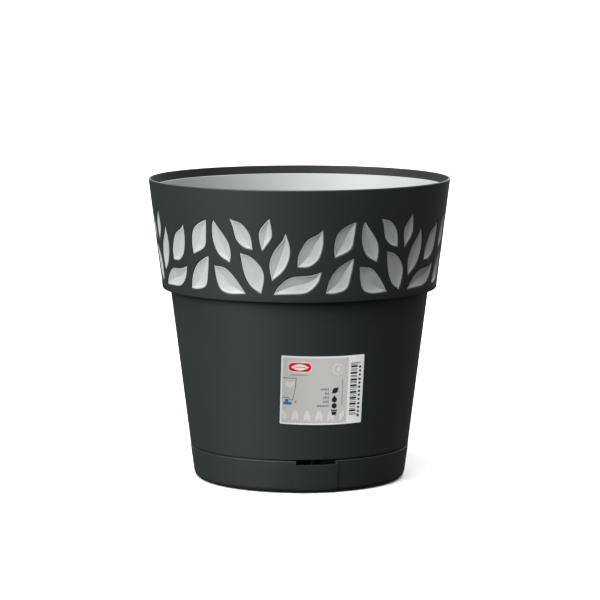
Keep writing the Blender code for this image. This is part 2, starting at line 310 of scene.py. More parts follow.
def leafOutline(shape):
    # anticlockwise from the tip, down the left side, up the right side
    tip, foot, left, right = shape
    pieces = leafBand["outlinePieces"]
    down = smoothLine([flatSpot(*p) for p in (tip, *left, foot)], pieces)
    other = smoothLine([flatSpot(*p) for p in (tip, *right, foot)], pieces)
    return down + other[-2:0:-1]


def widened(outline, distance):
    # the outline moved outwards all round; a sharp tip is held back
    moved = []
    count = len(outline)
    for k, here in enumerate(outline):
        into = (here - outline[k - 1]).normalized()
        out = (outline[(k + 1) % count] - here).normalized()
        normal = Vector((into.y + out.y, -into.x - out.x)).normalized()
        share = max(leafBand["leastShare"], normal.dot(Vector((into.y, -into.x))))
        stretch = min(leafBand["tipStretch"], 1.0 / share)
        moved.append(here + normal * distance * stretch)
    return moved


def addRing(mesh, outline, depth):
    return [mesh.verts.new((p.x, depth, p.y)) for p in outline]


def bridgeRings(mesh, outer, inner):
    count = len(outer)
    for k in range(count):
        following = (k + 1) % count
        mesh.faces.new((outer[k], outer[following], inner[following], inner[k]))


def fillSheet(mesh, rings, depth):
    # a flat sheet with a hole at each ring
    lowX = math.radians(leafBand["firstColumn"] * columnStep) * leafBand["flatRadius"]
    width = math.radians(leafBand["sectorColumns"] * columnStep) * leafBand["flatRadius"]
    corners = [(lowX, leafBand["low"]), (lowX + width, leafBand["low"]),
               (lowX + width, leafBand["high"]), (lowX, leafBand["high"])]
    border = [mesh.verts.new((x, depth, z)) for x, z in corners]
    edges = []
    for ring in [border, *rings]:
        for a, b in zip(ring, ring[1:] + ring[:1]):
            edges.append(mesh.edges.get((a, b)) or mesh.edges.new((a, b)))
    bmesh.ops.triangle_fill(mesh, use_beauty=True, edges=edges)


def wrapBand(name, mesh):
    # cuts the flat sector into columns, bends it round the collar, and repeats it
    step = math.radians(columnStep) * leafBand["flatRadius"]
    for k in range(1, leafBand["sectorColumns"]):
        sliceAt(mesh, (leafBand["firstColumn"] + k) * step)
    for vert in mesh.verts:
        x, depth, z = vert.co
        radius = collarRadius(z) - depth
        vert.co = pointAt(radius, math.degrees(x / leafBand["flatRadius"]), z)
    sector = bpy.data.meshes.new(name)
    mesh.to_mesh(sector)
    mesh.free()
    copies = []
    for k in range(leafBand["repeats"]):
        copy = sector.copy()
        copy.transform(Matrix.Rotation(math.tau * k / leafBand["repeats"], 4, "Z"))
        copies.append(addObject(name + str(k), copy))
    return joinPieces(name, copies)


# materials

mouldGrain = {"cloudDetail": 5.0, "grainDetail": 3.0, "darkEnd": 0.3, "lightEnd": 0.7}


def newMaterial(name):
    material = bpy.data.materials.new(name)
    material.use_nodes = True
    return material, material.node_tree.nodes, material.node_tree.links


def addNode(nodes, kind, settings):
    node = nodes.new("ShaderNode" + kind)
    for socket, value in settings.items():
        node.inputs[socket].default_value = value
    return node


def addNoise(nodes, links, scale, detail):
    place = nodes.new("ShaderNodeTexCoord")
    noise = addNode(nodes, "TexNoise", {"Scale": scale, "Detail": detail})
    links.new(place.outputs["Object"], noise.inputs["Vector"])
    return noise.outputs["Fac"]


def wireTones(nodes, links, factor, dark, light):
    # the factor picks the colour; each end is a place on the ramp and a tone
    ramp = nodes.new("ShaderNodeValToRGB")
    for element, (spot, tone) in zip(ramp.color_ramp.elements, (dark, light)):
        element.position = spot
        element.color = (*tone, 1)
    links.new(factor, ramp.inputs["Fac"])
    links.new(ramp.outputs["Color"], nodes["Principled BSDF"].inputs["Base Color"])


def wireRoughness(nodes, links, factor, smoothest, roughest):
    drift = addNode(nodes, "MapRange", {"To Min": smoothest, "To Max": roughest})
    links.new(factor, drift.inputs["Value"])
    links.new(drift.outputs["Result"], nodes["Principled BSDF"].inputs["Roughness"])


def wireBump(nodes, links, height, strength, depth):
    bump = addNode(nodes, "Bump", {"Strength": strength, "Distance": depth})
    links.new(height, bump.inputs["Height"])
    links.new(bump.outputs["Normal"], nodes["Principled BSDF"].inputs["Normal"])


def mouldedPlastic(name, values):
    # two close tones in soft clouds, a fine moulded grain, and roughness that drifts a little
    v = mouldGrain
    material, nodes, links = newMaterial(name)
    nodes["Principled BSDF"].inputs["Specular IOR Level"].default_value = values["specular"]
    clouds = addNoise(nodes, links, values["cloudScale"], v["cloudDetail"])
    wireTones(nodes, links, clouds, (v["darkEnd"], values["darkTone"]),
              (v["lightEnd"], values["lightTone"]))
    wireRoughness(nodes, links, clouds, values["roughness"] - values["roughDrift"],
                  values["roughness"] + values["roughDrift"])
    grain = addNoise(nodes, links, values["grainScale"], v["grainDetail"])
    wireBump(nodes, links, grain, values["grainStrength"], values["grainDepth"])
    return material


# what plastics from the same kind of mould share
darkMould = {"roughDrift": 0.03, "specular": 0.5, "grainScale": 1500.0, "grainStrength": 0.35,
             "grainDepth": 0.06 * mm}
lightMould = {"roughDrift": 0.05, "grainScale": 1200.0, "grainStrength": 0.25, "grainDepth": 0.05 * mm}
smallMould = {"roughDrift": 0.06, "specular": 0.25, "grainScale": 1100.0, "grainStrength": 0.4,
              "grainDepth": 0.08 * mm}
plastics = {
    "anthracitePlastic": {
        **darkMould, "darkTone": (0.0138, 0.0178, 0.0190), "lightTone": (0.0155, 0.0199, 0.0213),
        "roughness": 0.48, "cloudScale": 14.0},
    "saucerPlastic": {
        **darkMould, "darkTone": (0.0134, 0.0173, 0.0185), "lightTone": (0.0151, 0.0194, 0.0207),
        "roughness": 0.5, "cloudScale": 18.0},
    # painted shade: the inner faces of the pot get a darker copy of the anthracite
    "anthraciteShadedInside": {
        "darkTone": (0.0130, 0.0160, 0.0170), "lightTone": (0.0146, 0.0179, 0.0190),
        "roughness": 0.6, "roughDrift": 0.03, "specular": 0.22, "cloudScale": 14.0,
        "grainScale": 1300.0, "grainStrength": 0.4, "grainDepth": 0.07 * mm},
    # painted shade: the inner faces of the liner get a darker copy of the light grey
    "lightGreyShadedInside": {
        **lightMould, "darkTone": (0.317, 0.331, 0.335), "lightTone": (0.345, 0.360, 0.364),
        "roughness": 0.52, "specular": 0.35, "cloudScale": 20.0},
    "lightGreyPlastic": {
        **lightMould, "darkTone": (0.355, 0.372, 0.377), "lightTone": (0.382, 0.400, 0.405),
        "roughness": 0.44, "specular": 0.4, "cloudScale": 22.0},
    "gridPlastic": {
        **smallMould, "darkTone": (0.012, 0.012, 0.013), "lightTone": (0.018, 0.018, 0.019),
        "roughness": 0.55, "cloudScale": 30.0},
    "cupPlastic": {
        **smallMould, "darkTone": (0.014, 0.015, 0.015), "lightTone": (0.021, 0.022, 0.022),
        "roughness": 0.5, "cloudScale": 40.0},
}


def finishPiece(piece, material, body, slot, *nodes):
    piece.data.materials.clear()
    piece.data.materials.append(material)
    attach(piece, body)
    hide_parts(*nodes)


def paintInsideShade(piece, material, leastInward=0.5):
    # the faces that look at the pot's axis get painted shade, a darker copy of the plastic, with a plainer,
    # less polished finish
    piece.data.materials.append(material)
    for face in piece.data.polygons:
        outward = Vector((face.center.x, face.center.y, 0)).normalized()
        if face.normal.dot(outward) < -leastInward:
            face.material_index = 1


# outer pot

outerPot = {
    "wall": 1.5 * mm, "bandWall": 1.0 * mm, "wallStep": 1.5 * mm, "collarFloor": 2.5 * mm,
    "rimRounding": 0.7 * mm, "collarRounding": 0.9 * mm, "neckRounding": 0.5 * mm,
    "seamRounding": 0.25 * mm, "edgeRounding": 0.3 * mm, "ledgeCorner": 1.0 * mm,
    "neckCorner": 0.5 * mm, "collarCorner": 0.4 * mm,
    "ledgeRadius": 62.0 * mm, "ledgeThickness": 1.8 * mm, "fitGap": 0.3 * mm, "seamRise": 0.1 * mm,
    "skirtLow": 9.0 * mm, "skirtInset": 1.9 * mm, "windowHalf": 10.4, "windowMargin": 0.3 * mm,
    "openingRounding": 0.25 * mm, "openingGap": 0.22 * mm, "openingSteps": 3,
}


def collarBand():
    # the pierced band: front sheet, rounded opening edges, wall of each opening, back sheet
    soft = outerPot["openingRounding"]
    steps = outerPot["openingSteps"]
    mesh = bmesh.new()
    fronts = []
    backs = []
    for shape in leafShapes:
        outline = widened(leafOutline(shape), outerPot["openingGap"])
        rings = []
        for k in range(steps + 1):
            turn = math.radians(90 * k / steps)
            depth = soft * (1 - math.cos(turn))
            rings.append(addRing(mesh, widened(outline, soft * (1 - math.sin(turn))), depth))
        rings.append(addRing(mesh, outline, outerPot["bandWall"]))
        for outer, inner in zip(rings, rings[1:]):
            bridgeRings(mesh, outer, inner)
        fronts.append(rings[0])
        backs.append(rings[-1])
    fillSheet(mesh, fronts, 0.0)
    fillSheet(mesh, backs, outerPot["bandWall"])
    return wrapBand("collarBand", mesh)


def makeOuterPot(material, insideShadeMaterial):
    v = outerPot
    wall = v["wall"]
    edge = v["edgeRounding"]
    high = leafBand["high"]
    low = leafBand["low"]
    fullWall = high + v["wallStep"]
    rim = turnedPiece("potRim", roundedProfile([
        (collarRadius(high), high, 0), (rimRadius, potTop, v["rimRounding"]),
        (rimRadius - wall, potTop, v["rimRounding"]), (collarRadius(fullWall) - wall, fullWall, 0),
        (collarRadius(high) - v["bandWall"], high, 0)]))
    ledgeTop = saucerTop + v["fitGap"] + v["ledgeThickness"]
    shoulder = saucerTop + v["fitGap"] + v["seamRise"]
    floor = cone["collarLow"] + v["collarFloor"]
    skirtTop = saucerRadius(shoulder) - v["skirtInset"]
    skirtLow = saucerRadius(v["skirtLow"]) - v["skirtInset"]
    lower = turnedPiece("potBody", roundedProfile([
        (collarRadius(low), low, 0),
        (cone["collarLowRadius"], cone["collarLow"], v["collarRounding"]),
        (cone["bodyTopRadius"], cone["collarLow"], v["neckRounding"]),
        (cone["bodyLowRadius"], shoulder, v["seamRounding"]),
        (skirtTop, shoulder, 0), (skirtLow, v["skirtLow"], edge),
        (skirtLow - wall, v["skirtLow"], edge), (skirtTop - wall, shoulder, 0),
        (v["ledgeRadius"], shoulder, edge), (v["ledgeRadius"], ledgeTop, edge),
        (bodyRadius(ledgeTop) - wall, ledgeTop, v["ledgeCorner"]),
        (bodyRadius(floor) - wall, floor, v["neckCorner"]),
        (collarRadius(floor) - wall, floor, v["collarCorner"]),
        (collarRadius(low) - v["bandWall"], low, 0)]))
    pot = joinPieces("outerPotMoulding", [lower, rim, collarBand()])
    closeSeams(pot)
    mesh = bmesh.new()
    mesh.from_mesh(pot.data)
    cutSector(mesh, v["windowHalf"], 0, shoulder - levelSlack, skirtLow - 2 * wall,
              skirtTop + v["windowMargin"], shoulder)
    mesh.to_mesh(pot.data)
    mesh.free()
    smoothFaces(pot)
    finishPiece(pot, material, "pot", "pot_plastic", "outer_pot")
    # the inward faces take the darker plastic, which is painted shade
    paintInsideShade(pot, insideShadeMaterial)
    print("outer pot done")


# inner liner

innerLiner = {
    "skinDepth": 1.9 * mm, "upperDepth": 1.8 * mm, "innerDepth": 3.2 * mm, "skinStep": 0.8 * mm,
    "lipDepth": 0.45 * mm, "lipWidth": 0.75 * mm, "lipRounding": 0.12 * mm,
    "dishWall": 0.9 * mm, "dishDepth": 0.8 * mm,
    "foldDepth": 0.7 * mm, "foldRows": 3, "foldWidth": 8.0 * mm, "foldPower": 0.8,
    "ledgeRadius": 60.0 * mm, "wall": 1.4 * mm, "stepHeight": 130.0 * mm,
    "edgeRounding": 0.45 * mm, "shelfCorner": 1.2 * mm, "shelfEdge": 0.8 * mm,
    "floorCorner": 1.5 * mm, "floorEdge": 0.4 * mm, "footRounding": 0.8 * mm,
    "stepRounding": 0.15 * mm, "smoothAngle": 17.0,
}


def addLeaf(mesh, shape):
    # a leaf stands up from the liner's skin, with a lip round two facets that fold along the midrib
    v = innerLiner
    outline = leafOutline(shape)
    foot = leafBand["outlinePieces"]
    lip = v["lipDepth"]
    soft = v["lipRounding"]
    inward = v["lipWidth"]
    # how far in from the outline, and how deep, each ring of the lip lies
    steps = [(0, v["skinDepth"]), (0, lip + soft), (soft, lip), (inward, lip),
             (inward + v["dishWall"] / 3, lip + soft), (inward + v["dishWall"], v["dishDepth"])]
    rings = [addRing(mesh, widened(outline, -distance), depth) for distance, depth in steps]
    for outer, inner in zip(rings, rings[1:]):
        bridgeRings(mesh, outer, inner)
    edge = rings[-1]
    left = edge[:foot + 1]
    right = [edge[0]] + edge[:foot - 1:-1]
    midrib = [edge[0]]
    for k in range(1, foot):
        middle = (left[k].co + right[k].co) / 2
        width = (left[k].co - right[k].co).length
        fold = v["foldDepth"] * min(1.0, width / v["foldWidth"]) ** v["foldPower"]
        midrib.append(mesh.verts.new((middle.x, v["dishDepth"] + fold, middle.z)))
    midrib.append(edge[foot])
    for side, flip in ((left, False), (right, True)):
        rows = [side]
        for k in range(1, v["foldRows"]):
            share = k / v["foldRows"]
            row = [side[0]]
            for a, b in zip(side[1:-1], midrib[1:-1]):
                row.append(mesh.verts.new(a.co.lerp(b.co, share)))
            rows.append(row + [side[-1]])
        rows.append(midrib)
        for a, b in zip(rows, rows[1:]):
            for k in range(foot):
                corners = []
                for vert in (a[k], a[k + 1], b[k + 1], b[k]):
                    if vert not in corners:
                        corners.append(vert)
                mesh.faces.new(reversed(corners) if flip else corners)
    return rings[0]


def linerBand():
    mesh = bmesh.new()
    rings = [addLeaf(mesh, shape) for shape in leafShapes]
    fillSheet(mesh, rings, innerLiner["skinDepth"])
    return wrapBand("linerBand", mesh)


def makeInnerLiner(material, insideShadeMaterial):
    v = innerLiner
    low = leafBand["low"]
    high = leafBand["high"]
    top = linerBox[1].z
    floor = linerBox[0].z
    step = v["stepHeight"]
    inside = floor + v["wall"]
    shelf = step + v["wall"]
    upper = high + v["skinStep"]
    shell = turnedPiece("linerShell", roundedProfile([
        (collarRadius(high) - v["skinDepth"], high, 0),
        (collarRadius(upper) - v["upperDepth"], upper, 0),
        (collarRadius(top) - v["upperDepth"], top, v["edgeRounding"]),
        (collarRadius(top) - v["innerDepth"], top, v["edgeRounding"]),
        (collarRadius(shelf) - v["innerDepth"], shelf, v["shelfCorner"]),
        (bodyRadius(shelf) - v["innerDepth"], shelf, v["shelfEdge"]),
        (bodyRadius(inside) - v["innerDepth"], inside, v["floorCorner"]),
        (v["ledgeRadius"], inside, v["floorEdge"]), (v["ledgeRadius"], floor, v["floorEdge"]),
        (bodyRadius(floor) - v["upperDepth"], floor, v["footRounding"]),
        (bodyRadius(step) - v["upperDepth"], step, v["stepRounding"]),
        (collarRadius(step) - v["skinDepth"], step, v["stepRounding"]),
        (collarRadius(low) - v["skinDepth"], low, 0)]))
    liner = joinPieces("innerLinerMoulding", [shell, linerBand()])
    closeSeams(liner)
    smoothFaces(liner, degrees=v["smoothAngle"])
    finishPiece(liner, material, "liner", "liner_plastic", "inner_liner")
    # the inward faces take the darker plastic, which is painted shade
    paintInsideShade(liner, insideShadeMaterial)
    print("inner liner done")


# saucer

saucer = {
    "wall": 1.6 * mm, "floorTop": 2.8 * mm, "floorCorner": 1.2 * mm, "poleRadius": 4.0 * mm,
    "footInner": 62.0 * mm, "footHeight": 1.0 * mm, "footSlope": 1.0 * mm,
    "footRounding": 4.4 * mm, "footEdge": 0.3 * mm, "rimRounding": 0.35 * mm, "rimDrop": 0.65 * mm,
    "notchDepth": 3.2 * mm, "notchHalf": 10.4, "notchEdge": 0.55 * mm, "notchEndSlack": 0.3,
    "notchNear": 60.0 * mm, "notchFar": 80.0 * mm, "notchOver": 1.0 * mm,
    "padHalf": 11.6, "padProud": 0.8 * mm, "padLow": 1.6 * mm, "padSkin": 0.6 * mm, "padEdge": 0.3 * mm,
    "stiffeners": (50.0 * mm, 36.0 * mm, 20.0 * mm), "stiffenerWidth": 1.6 * mm,
    "stiffenerHeight": 0.6 * mm, "stiffenerSlope": 0.2 * mm, "stiffenerRounding": 0.1 * mm,
}


def raisePad(piece):
    # the front's outer faces are extruded and moved out, then the notch is cut
    v = saucer
    mesh = bmesh.new()
    mesh.from_mesh(piece.data)

    def inPad(face):
        middle = face.calc_center_median()
        outer = reachOf(middle) > saucerRadius(middle.z) - v["padSkin"]
        return outer and abs(angleOf(middle)) < v["padHalf"] and middle.z > v["padLow"]
    chosen = [face for face in mesh.faces if inPad(face)]
    made = bmesh.ops.extrude_face_region(mesh, geom=chosen)
    bmesh.ops.delete(mesh, geom=chosen, context="FACES")
    for vert in made["geom"]:
        if isinstance(vert, bmesh.types.BMVert):
            outward = Vector((vert.co.x, vert.co.y, 0)).normalized()
            vert.co += outward * v["padProud"]
    bmesh.ops.recalc_face_normals(mesh, faces=mesh.faces)
    notch = saucerTop - v["notchDepth"]
    cutSector(mesh, v["notchHalf"], notch, saucerTop + v["notchOver"], v["notchNear"],
              v["notchFar"], notch)
    mesh.to_mesh(piece.data)
    mesh.free()


def bevelWhere(piece, wanted, width, segments=3):
    # bevels the edges whose two ends both lie where the test says
    selectOnly(piece)
    for item in (piece.data.polygons, piece.data.edges, piece.data.vertices):
        item.foreach_set("select", [False] * len(item))
    spots = [wanted(vert.co) for vert in piece.data.vertices]
    for edge in piece.data.edges:
        edge.select = spots[edge.vertices[0]] and spots[edge.vertices[1]]
    bpy.ops.object.mode_set(mode="EDIT")
    bpy.ops.mesh.select_mode(type="EDGE")
    bpy.ops.mesh.bevel(offset=width, segments=segments, affect="EDGES", clamp_overlap=True)
    bpy.ops.mesh.select_mode(type="VERT")
    bpy.ops.object.mode_set(mode="OBJECT")


def softenEdges(piece):
    # the notch's outer edges and the pad's two upright edges catch the light
    v = saucer
    notch = saucerTop - v["notchDepth"]
    slack = v["notchEndSlack"]

    def onPadFace(point):
        return reachOf(point) > saucerRadius(point.z) + v["padProud"] / 2

    def onNotch(point):
        turn = abs(angleOf(point))
        atFloor = abs(point.z - notch) < levelSlack and turn < v["notchHalf"] + slack
        atEnd = point.z > notch - levelSlack and abs(turn - v["notchHalf"]) < slack
        return onPadFace(point) and (atFloor or atEnd)

    def onPad(point):
        return onPadFace(point) and abs(abs(angleOf(point)) - v["padHalf"]) < columnStep / 2
    bevelWhere(piece, onNotch, v["notchEdge"])
    bevelWhere(piece, onPad, v["padEdge"])


def undersideRings():
    # shallow stiffening rings under the floor, inside the foot
    v = saucer
    slope = v["stiffenerSlope"]
    soft = v["stiffenerRounding"]
    low = v["footHeight"] - v["stiffenerHeight"]
    corners = []
    for radius in v["stiffeners"]:
        outer = radius + v["stiffenerWidth"] / 2
        inner = radius - v["stiffenerWidth"] / 2
        corners += [(outer, v["footHeight"], 0), (outer - slope, low, soft),
                    (inner + slope, low, soft), (inner, v["footHeight"], 0)]
    return corners


def makeSaucer(material):
    v = saucer
    notch = saucerTop - v["notchDepth"]
    rimTop = saucerTop - v["rimDrop"]
    wall = v["wall"]
    piece = turnedPiece("saucerMoulding", roundedProfile([
        (v["poleRadius"], v["floorTop"], 0),
        (saucerRadius(v["floorTop"]) - wall, v["floorTop"], v["floorCorner"]),
        (saucerRadius(notch) - wall, notch, 0),
        (saucerRadius(rimTop) - wall, rimTop, v["rimRounding"]),
        (saucerRadius(rimTop), rimTop, v["rimRounding"]),
        (saucerRadius(notch), notch, 0),
        (cone["saucerFootRadius"], 0, v["footRounding"]),
        (v["footInner"], 0, v["footEdge"]),
        (v["footInner"] - v["footSlope"], v["footHeight"], v["footEdge"]),
        *undersideRings(), (v["poleRadius"], v["footHeight"], 0)]), poleAtEnds=(True, True))
    closeSeams(piece)
    raisePad(piece)
    softenEdges(piece)
    smoothFaces(piece)
    finishPiece(piece, material, "saucer", "saucer_plastic", "reservoir_saucer")
    print("saucer done")


# separator grid

separatorGrid = {
    "centreRadius": 18.0 * mm, "holeRadius": 3.0 * mm, "holeChamfer": 0.35 * mm,
    "holeRows": ((29.0 * mm, 10), (41.0 * mm, 14), (53.0 * mm, 18)),
    "holeSides": 20, "cutterOver": 1.0 * mm,
    "rimWidth": 1.8 * mm, "rimDrop": 0.5 * mm, "rimSlope": 0.4 * mm, "rimRounding": 0.2 * mm,
    "edge": 0.35 * mm, "sides": columns // 2,
}


def holeCutter(radius, low, high, chamfer):
    # a round cutter that flares at both faces, so the hole gets chamfered edges
    over = separatorGrid["cutterOver"]
    profile = [(radius + chamfer + over, high + over), (radius, high - chamfer),
               (radius, low + chamfer), (radius + chamfer + over, low - over)]
    return turnedPiece("holeCutter", profile, separatorGrid["holeSides"], poleAtEnds=(True, True))


def cutAway(piece, cutters):
    cutter = joinPieces("cutters", cutters)
    closeSeams(cutter)
    boolean = piece.modifiers.new("cutters", "BOOLEAN")
    boolean.operation = "DIFFERENCE"
    boolean.object = cutter
    applyModifiers(piece)
    bpy.data.objects.remove(cutter, do_unlink=True)


def makeGrid(material):
    v = separatorGrid
    low = gridBox[0].z
    high = gridBox[1].z
    outer = gridBox[1].x
    inner = v["centreRadius"]
    deck = high - v["rimDrop"]
    slope = v["rimSlope"]
    soft = v["rimRounding"]
    piece = turnedPiece("separatorGridMoulding", roundedProfile([
        (inner, (low + high) / 2, 0), (inner, high, v["edge"]),
        (inner + v["rimWidth"], high, soft), (inner + v["rimWidth"] + slope, deck, soft),
        (outer - v["rimWidth"] - slope, deck, soft), (outer - v["rimWidth"], high, soft),
        (outer, high, v["edge"]), (outer, low, v["edge"]), (inner, low, v["edge"]),
        (inner, (low + high) / 2, 0)]), v["sides"])
    closeSeams(piece)
    first = holeCutter(v["holeRadius"], low, deck, v["holeChamfer"])
    cutters = []
    for ringRadius, count in v["holeRows"]:
        for number in range(count):
            hole = addObject("hole", first.data.copy())
            hole.data.transform(Matrix.Translation(pointAt(ringRadius, 360 * number / count, 0)))
            cutters.append(hole)
    bpy.data.objects.remove(first, do_unlink=True)
    cutAway(piece, cutters)
    smoothFaces(piece)
    finishPiece(piece, material, "grid", "grid_plastic", "separator_grid")
    print("separator grid done")


# wicking cup

wickingCup = {
    "wall": 1.5 * mm, "flangeRadius": 22.0 * mm, "topRadius": 17.4 * mm, "footRadius": 13.0 * mm,
    "edge": 0.4 * mm, "mouthRounding": 0.6 * mm, "neckRounding": 0.5 * mm,
    "floorCorner": 0.8 * mm, "footRounding": 1.0 * mm, "poleRadius": 2.0 * mm, "sides": columns // 3,
    "slots": 6, "slotWidth": 4.0 * mm, "slotBelow": 3.0 * mm, "slotAbove": 4.0 * mm,
    "slotSides": 24, "slotOut": 1.5 * mm, "slotCutDepth": 10.0 * mm,
}


def slotCutter(angle, low, high):
    # a slot with round ends, standing in the cup's wall
    v = wickingCup
    clearSelection()
    bpy.ops.mesh.primitive_cylinder_add(vertices=v["slotSides"], radius=v["slotWidth"] / 2,
                                        depth=v["slotCutDepth"], rotation=(math.radians(90), 0, 0))
    piece = bpy.context.object
    setPlace(piece)
    half = (high - low - v["slotWidth"]) / 2
    for vert in piece.data.vertices:
        vert.co.z += half if vert.co.z > levelSlack else -half
    place = Matrix.Translation(pointAt(v["footRadius"] + v["slotOut"], angle, (low + high) / 2))
    piece.data.transform(place @ Matrix.Rotation(math.radians(angle), 4, "Z"))
    return piece


def makeCup(material):
    v = wickingCup
    wall = v["wall"]
    low = cupBox[0].z
    high = cupBox[1].z
    under = high - wall
    piece = turnedPiece("wickingCupMoulding", roundedProfile([
        (v["poleRadius"], low + wall, 0), (v["footRadius"] - wall, low + wall, v["floorCorner"]),
        (v["topRadius"] - wall, high, v["mouthRounding"]), (v["flangeRadius"], high, v["edge"]),
        (v["flangeRadius"], under, v["edge"]), (v["topRadius"], under, v["neckRounding"]),
        (v["footRadius"], low, v["footRounding"]), (v["poleRadius"], low, 0)]),
        v["sides"], poleAtEnds=(True, True))
    closeSeams(piece)
    cutters = [slotCutter(360 * (k + 0.5) / v["slots"], low + v["slotBelow"], under - v["slotAbove"])
               for k in range(v["slots"])]
    cutAway(piece, cutters)
    smoothFaces(piece)
    finishPiece(piece, material, "wick", "cup_plastic", "wicking_cup")
    print("wicking cup done")


# label: a paper sticker with its print as thin layers of ink

label = {
    "width": 55.0 * mm, "middleAngle": 2.5, "low": 45.7 * mm, "height": 45.6 * mm,
    "tilt": 0.014, "taper": 0.008, "stand": 0.06 * mm, "paper": 0.14 * mm, "ink": 0.012 * mm,
    "border": 1.1 * mm, "corner": 0.6 * mm, "cornerSteps": 5,
    "stripLeft": 43.9 * mm, "column": 1.0 * mm,
    "bars": 26, "barLeft": 45.7 * mm, "barRight": 50.3 * mm, "guardRight": 52.4 * mm,
    "barsLow": 5.8 * mm, "barsHigh": 40.6 * mm,
}
printInks = {
    "paperWhite": (0.62, 0.63, 0.63), "fieldGrey": (0.42, 0.41, 0.395),
    "inkPale": (0.52, 0.52, 0.51), "inkDark": (0.012, 0.012, 0.013), "inkGrey": (0.12, 0.12, 0.12),
    "inkTaupe": (0.20, 0.17, 0.14), "inkRed": (0.50, 0.012, 0.02), "inkBlue": (0.015, 0.13, 0.36),
}
paperCoatAndPaintedLight = {
    "specular": 0.35, "fibreScale": 900.0, "fibreDetail": 4.0, "mottle": 0.12,
    # painted shade at the label's left end and painted light at its right end
    "paintedLightFrom": -22.0 * mm, "paintedLightTo": 26.0 * mm, "paintedShadeLeft": 0.7, "paintedLightRight": 1.58, "palest": 0.95,
    "smoothest": 0.36, "roughest": 0.5, "fibreStrength": 0.12, "fibreDepth": 0.03 * mm,
}


def inkMaterial(name, tone):
    # printed paper: a faint fibre mottle under a smooth coat, with painted shade towards the label's left
    # end and painted light towards its right end
    v = paperCoatAndPaintedLight
    material, nodes, links = newMaterial(name)
    nodes["Principled BSDF"].inputs["Specular IOR Level"].default_value = v["specular"]
    fibre = addNoise(nodes, links, v["fibreScale"], v["fibreDetail"])
    place = nodes.new("ShaderNodeTexCoord")
    sides = nodes.new("ShaderNodeSeparateXYZ")
    links.new(place.outputs["Object"], sides.inputs["Vector"])
    # painted light: the tone climbs from the label's left end to its right end, and the fibre mottle is
    # added onto it
    paintedLight = addNode(nodes, "MapRange", {"From Min": v["paintedLightFrom"], "From Max": v["paintedLightTo"]})
    links.new(sides.outputs["X"], paintedLight.inputs["Value"])
    mottle = addNode(nodes, "Math", {1: v["mottle"]})
    mottle.operation = "MULTIPLY_ADD"
    links.new(fibre, mottle.inputs[0])
    links.new(paintedLight.outputs["Result"], mottle.inputs[2])
    left = [part * v["paintedShadeLeft"] for part in tone]
    right = [min(v["palest"], part * v["paintedLightRight"]) for part in tone]
    wireTones(nodes, links, mottle.outputs["Value"], (0.0, left), (1.0, right))
    wireRoughness(nodes, links, fibre, v["smoothest"], v["roughest"])
    wireBump(nodes, links, fibre, v["fibreStrength"], v["fibreDepth"])
    return material


def inMetres(points):
    return [Vector(point) * mm for point in points]


def arc(x, y, radius, first, sweep, steps):
    turns = [math.radians(first + sweep * k / steps) for k in range(steps + 1)]
    return [(x + radius * math.cos(turn), y + radius * math.sin(turn)) for turn in turns]


def box(left, low, right, high):
    return inMetres(((left, low), (right, low), (right, high), (left, high)))


def disc(x, y, radius, sides=28):
    return inMetres(arc(x, y, radius, 0, 360, sides)[:-1])


def drop(x, y, radius, sides=16, point=1.7):
    # two thirds of a circle, drawn up to a point
    return inMetres(arc(x, y, radius, 150, 240, sides) + [(x, y + point * radius)])


def pill(left, low, right, high, sides=10):
    # a bar with round ends
    radius = (high - low) / 2
    middle = (low + high) / 2
    return inMetres(arc(right - radius, middle, radius, -90, 180, sides)
                    + arc(left + radius, middle, radius, 90, 180, sides))


def stroke(points, width):
    # a pen line as one box along each straight run
    shapes = []
    for a, b in zip(points, points[1:]):
        a, b = Vector(a), Vector(b)
        along = (b - a).normalized() * width / 2
        side = Vector((-along.y, along.x))
        shapes.append(inMetres((a - along - side, b + along - side, b + along + side, a - along + side)))
    return shapes


def sprig(x, y, length, turn, fatness=0.42, steps=8, slimness=0.62):
    # one small leaf: two even curves between its foot and its tip
    half = []
    for k in range(steps + 1):
        share = k / steps
        half.append(Vector((fatness * length * math.sin(math.pi * share) * slimness, length * share)))
    outline = half + [Vector((-p.x, p.y)) for p in half[-2:0:-1]]
    spin = Matrix.Rotation(math.radians(turn), 2)
    return inMetres(spin @ p + Vector((x, y)) for p in outline)


# what repeats in the print, in millimetres from the label's lower left
printPlan = {
    "badgeTicks": 9, "sideTicks": 14, "tickStep": 1.25,
    "rows": (6, 3, 4, 4, 8), "rowTop": 24.5, "rowStep": 2.75, "rowRight": 31.3,
    "rowTick": (0.62, 1.5), "rowTickStep": 0.98, "rowTickDrop": 0.25,
    "sprayLeaves": 10, "sprayStep": 3.9, "sprayLow": 2.5, "sprayLength": 7.6,
    "sprayTurns": (20, -24), "sprayFatness": 0.34,
    "marks": 13, "markLow": 4.3, "markStep": 2.72, "markSides": (51.4, 53.1), "markTall": 1.3,
    "dotMiddle": 52.3, "dotRadius": 0.8, "dotSides": 16,
}


def badgeShapes():
    # a red bar with one long pale leaf, and a row of grey ticks under it
    shapes = [("paperWhite", 2, pill(4.2, 34.9, 19.8, 41.7)), ("inkRed", 3, pill(4.7, 35.4, 19.3, 41.2)),
              ("paperWhite", 4, sprig(6.3, 38.3, 11.4, -90, 0.3)),
              ("inkRed", 5, box(8.0, 38.1, 15.6, 38.5))]
    for k in range(printPlan["badgeTicks"]):
        along = printPlan["tickStep"] * k
        shapes.append(("inkGrey", 2, box(6.1 + along, 32.8, 6.9 + along, 33.5)))
    return shapes


